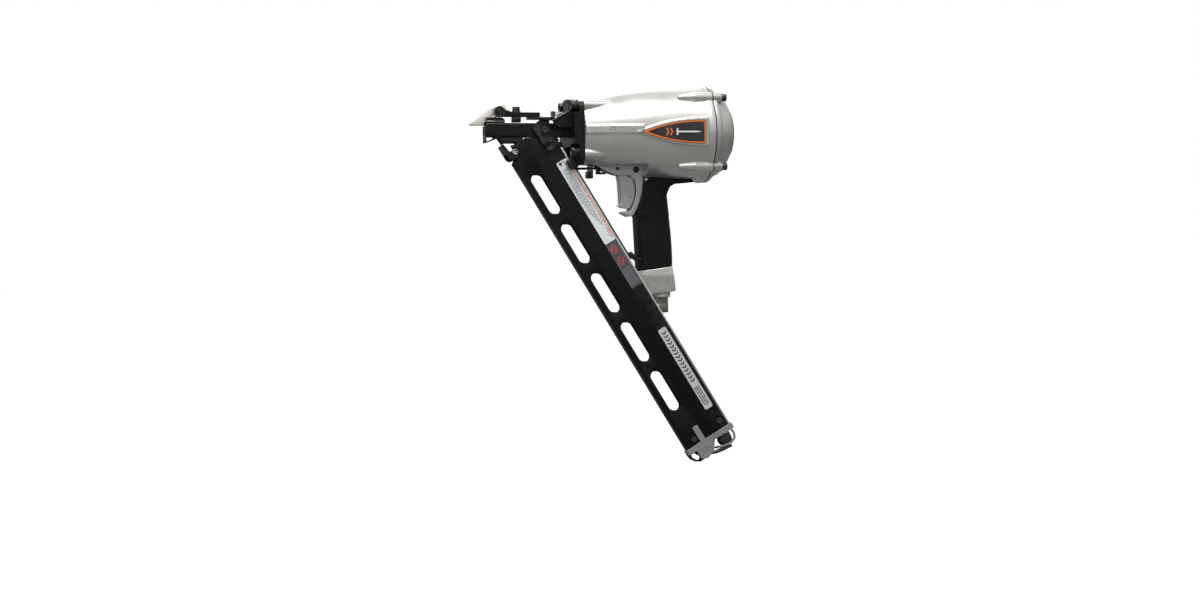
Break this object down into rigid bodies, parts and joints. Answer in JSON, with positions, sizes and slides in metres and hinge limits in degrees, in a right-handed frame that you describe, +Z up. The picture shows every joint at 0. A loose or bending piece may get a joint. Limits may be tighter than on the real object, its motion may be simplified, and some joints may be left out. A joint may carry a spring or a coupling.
{
  "type": "pneumatic strip nailer",
  "caption": "Air-driven framing and connector nailer with a slanted strip magazine, metal-hole probe, rubber grip and rear exhaust deflector.",
  "frame": {"origin": "centre of the muzzle where the nail leaves, on the driver axis", "axes": "+X back along the driver axis towards the cylinder cap, +Z up with the handle hanging down, -Y the labelled side"},
  "size_m": [0.3661, 0.1364, 0.511],
  "materials": {
    "white_paint": "satin die-cast paint",
    "cap_grey": "satin die-cast paint",
    "black_oxide": "oiled black oxide",
    "black_screw": "black oxide",
    "steel": "ground",
    "nickel": "nickel plated",
    "rubber_black": "matt",
    "trigger_grey": "satin",
    "cast_silver": "as cast",
    "fitting_grey": "zinc plated",
    "magazine_black": "semi-gloss powder coat",
    "end_grey": "moulded nylon",
    "black_plastic": "moulded nylon",
    "plate_black": "black panel with orange border",
    "label": "printed film, no lettering",
    "seal": "moulded",
    "bumper_rubber": "polyurethane",
    "white_plastic": "acetal",
    "exhaust_black": "satin"
  },
  "bodies": {
    "frame": {"housing": "white_paint", "cylinder_cap": "cap_grey", "cap_gasket": "seal", "deflector_screw": "cap_grey", "cap_screws": "black_screw", "screw_washers": "black_screw", "nameplates": "plate_black", "cylinder_sleeve": "cast_silver", "sleeve_seals": "seal", "bumper": "bumper_rubber", "grip_sleeve": "rubber_black", "handle_end_cap": "cast_silver", "air_fitting": "fitting_grey", "inlet_filter": "steel", "trigger_bracket": "trigger_grey", "trigger_pins": "black_screw", "valve_body": "white_plastic", "valve_spring": "steel", "nose_casting": "black_oxide", "nose_screws": "black_screw", "nose_toe": "black_oxide", "probe_guides": "black_oxide", "linkage_guide": "black_oxide", "latch_pins": "steel", "latch_spring": "steel", "magazine_plate_near": "magazine_black", "magazine_plate_far": "magazine_black", "magazine_front_rail": "magazine_black", "magazine_rear_rail": "steel", "magazine_rail_cover": "black_plastic", "nose_brackets": "magazine_black", "handle_strut": "black_oxide", "magazine_labels": "label", "magazine_end_cap": "end_grey", "end_bumpers": "rubber_black", "end_foot": "rubber_black", "hanger_tab": "black_plastic", "magazine_screws": "black_screw"},
    "piston_group": {"piston": "cast_silver", "piston_ring": "seal", "driver_blade": "steel"},
    "head_valve": {"head_valve": "white_plastic", "head_valve_spring": "steel"},
    "trigger": {"trigger": "trigger_grey", "lever_pin": "black_screw"},
    "contact_lever": {"contact_lever": "black_oxide"},
    "valve_stem": {"valve_stem": "steel"},
    "work_contact": {"contact_bar": "black_oxide", "contact_linkage": "black_oxide", "adjuster_screw": "black_screw", "adjuster_washer": "black_screw", "adjuster_spacer": "black_oxide", "probe_pivot_screw": "black_screw", "contact_spring": "steel"},
    "probe": {"probe": "nickel"},
    "follower": {"follower": "black_oxide", "follower_tab": "black_plastic", "follower_spring": "steel"},
    "nose_latch": {"nose_latch": "black_oxide"},
    "exhaust_deflector": {"exhaust_deflector": "exhaust_black"}
  },
  "joints": [
    {"name": "driver_stroke", "type": "slide", "parent": "frame", "child": "piston_group", "axis": [-1, 0, 0], "range_m": [0, 0.098]},
    {"name": "head_valve_lift", "type": "slide", "parent": "frame", "child": "head_valve", "axis": [1, 0, 0], "range_m": [0, 0.005], "stiffness_N_per_m": 1500, "springref_m": -0.006},
    {"name": "trigger_pull", "type": "hinge", "parent": "frame", "child": "trigger", "pos_m": [0.1822, 0, -0.048], "axis": [0, -1, 0], "range_deg": [0, 5.2], "stiffness_Nm_per_rad": 1, "springref_deg": -8.59},
    {"name": "contact_lever_lift", "type": "hinge", "parent": "trigger", "child": "contact_lever", "pos_m": [0.1995, 0, -0.0585], "axis": [0, 1, 0], "range_deg": [0, 4]},
    {"name": "valve_stem_lift", "type": "slide", "parent": "frame", "child": "valve_stem", "axis": [0, 0, 1], "range_m": [0, 0.0018], "deforming": ["valve_spring"]},
    {"name": "work_contact_press", "type": "slide", "parent": "frame", "child": "work_contact", "axis": [1, 0, 0], "range_m": [0, 0.008], "stiffness_N_per_m": 400, "springref_m": -0.02},
    {"name": "probe_tilt", "type": "hinge", "parent": "work_contact", "child": "probe", "pos_m": [0.019, 0, 0.0278], "axis": [0, 1, 0], "range_deg": [0, 12], "stiffness_Nm_per_rad": 0.3, "springref_deg": -17.19},
    {"name": "follower_feed", "type": "slide", "parent": "frame", "child": "follower", "axis": [0.5, -0.1055, -0.8596], "range_m": [0, 0.37], "stiffness_N_per_m": 8, "springref_m": -1.6},
    {"name": "nose_latch_swing", "type": "hinge", "parent": "frame", "child": "nose_latch", "pos_m": [0.0385, -0.00335, -0.02729], "axis": [0, -0.9925, 0.1219], "range_deg": [0, 60], "stiffness_Nm_per_rad": 0.05, "springref_deg": -28.65},
    {"name": "deflector_swivel", "type": "hinge", "parent": "frame", "child": "exhaust_deflector", "pos_m": [0.339, 0, 0], "axis": [1, 0, 0], "continuous": true}
  ],
  "couplings": [
    {"joint": "contact_lever_lift", "follows": "work_contact_press", "rad_per_m": 8.7},
    {"joint": "valve_stem_lift", "follows": "trigger_pull", "m_per_rad": 0.0198}
  ]
}
